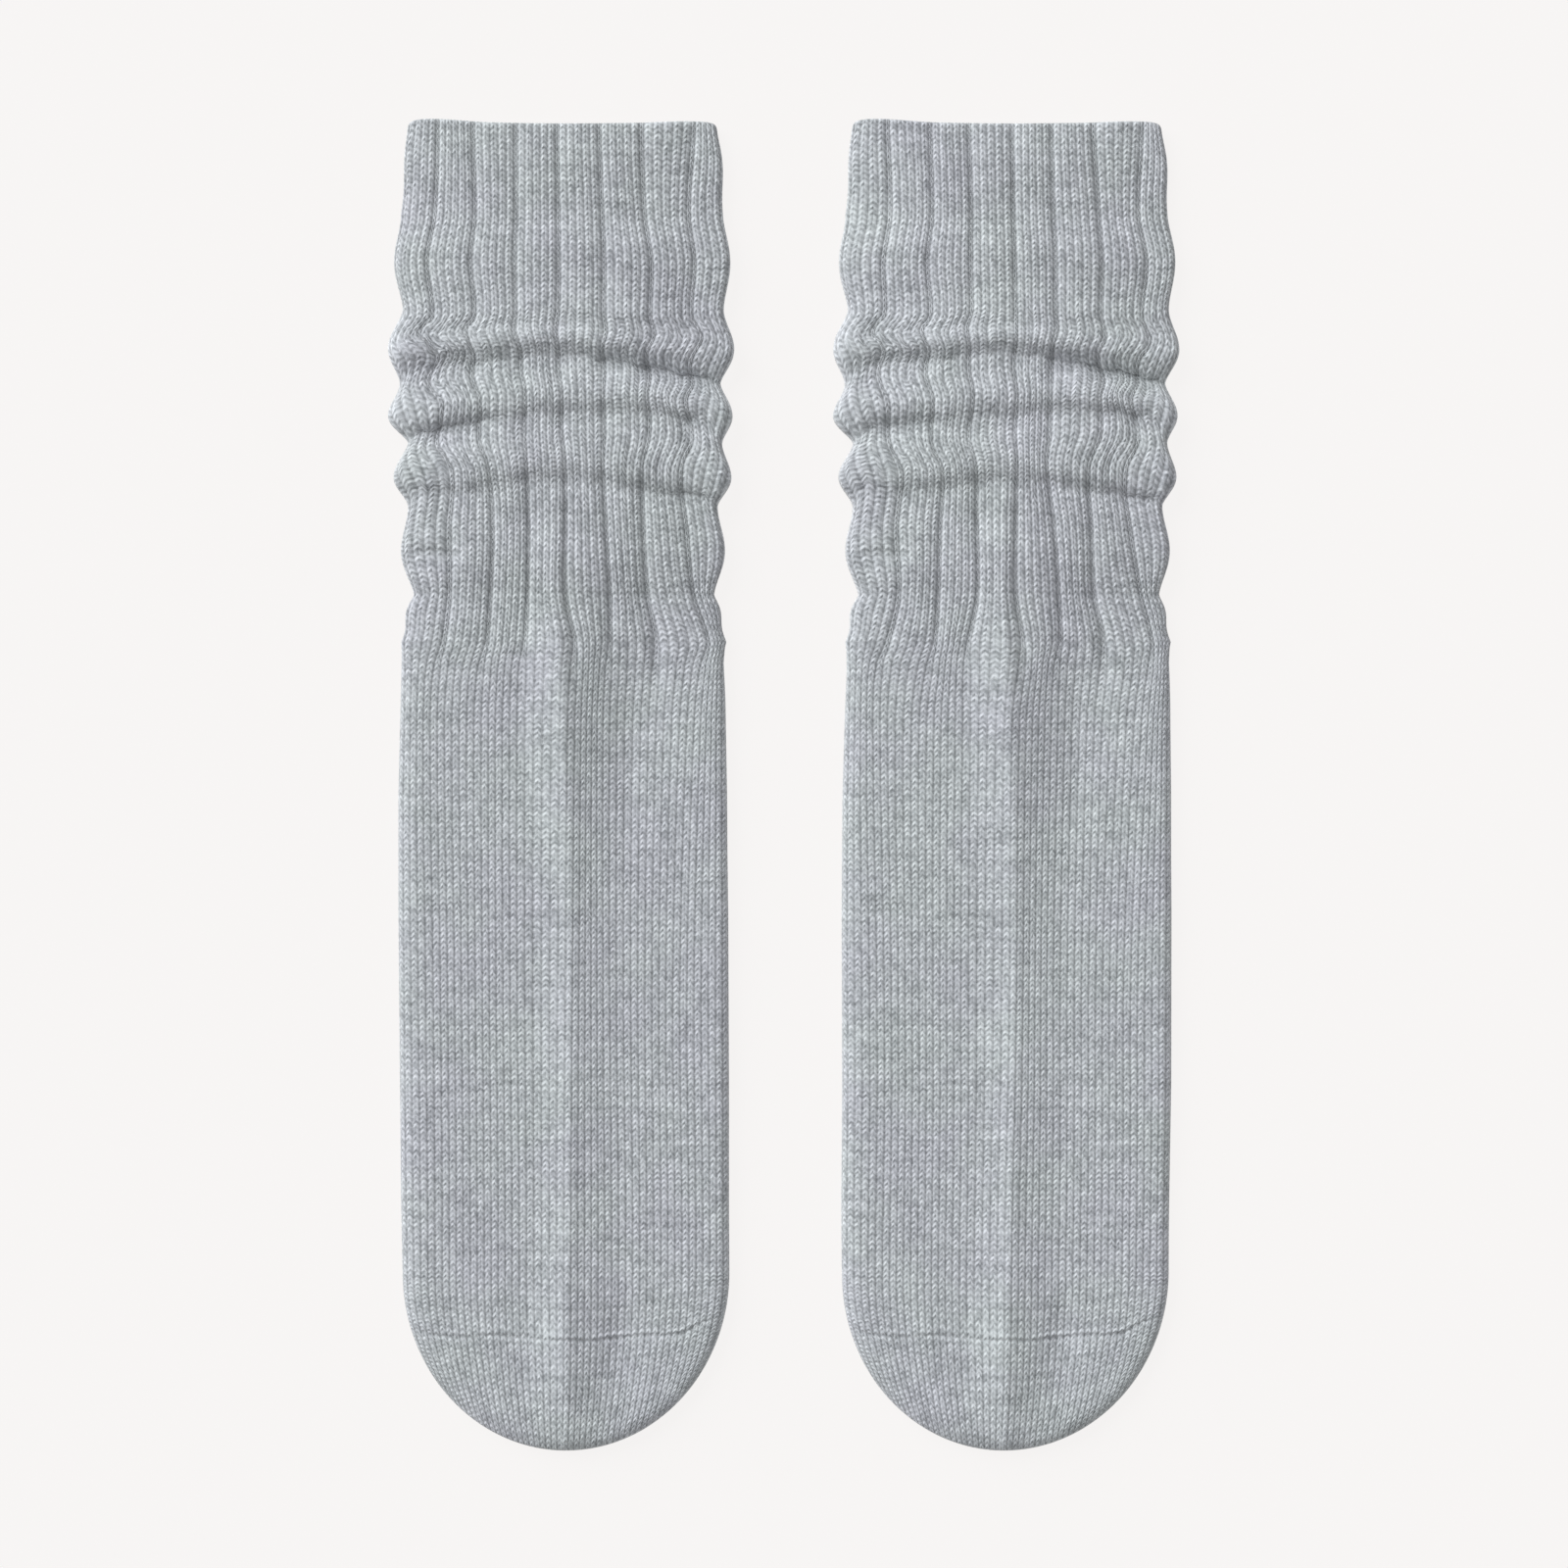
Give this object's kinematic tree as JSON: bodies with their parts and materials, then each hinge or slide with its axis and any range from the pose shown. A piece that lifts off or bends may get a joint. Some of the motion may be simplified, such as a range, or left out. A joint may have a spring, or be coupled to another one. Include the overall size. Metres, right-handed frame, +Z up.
{
  "type": "pair of slouch ankle socks",
  "caption": "Pair of thick knitted slouch ankle socks laid flat side by side, with a wide-rib leg pushed down in rolls, a plain foot and a rounded toe.",
  "frame": {"origin": "on the surface that the socks lie on, under the middle of the pair", "axes": "+Y along the socks towards the cuffs, +X from the left sock to the right one, +Z up out of the surface, instep side up"},
  "size_m": [0.2042, 0.3444, 0.011],
  "materials": {
    "knit": "thick melange cotton knit, light cool grey, matt and slightly fuzzy"
  },
  "bodies": {
    "root": {"sock_left": "knit", "sock_right": "knit"}
  },
  "joints": []
}
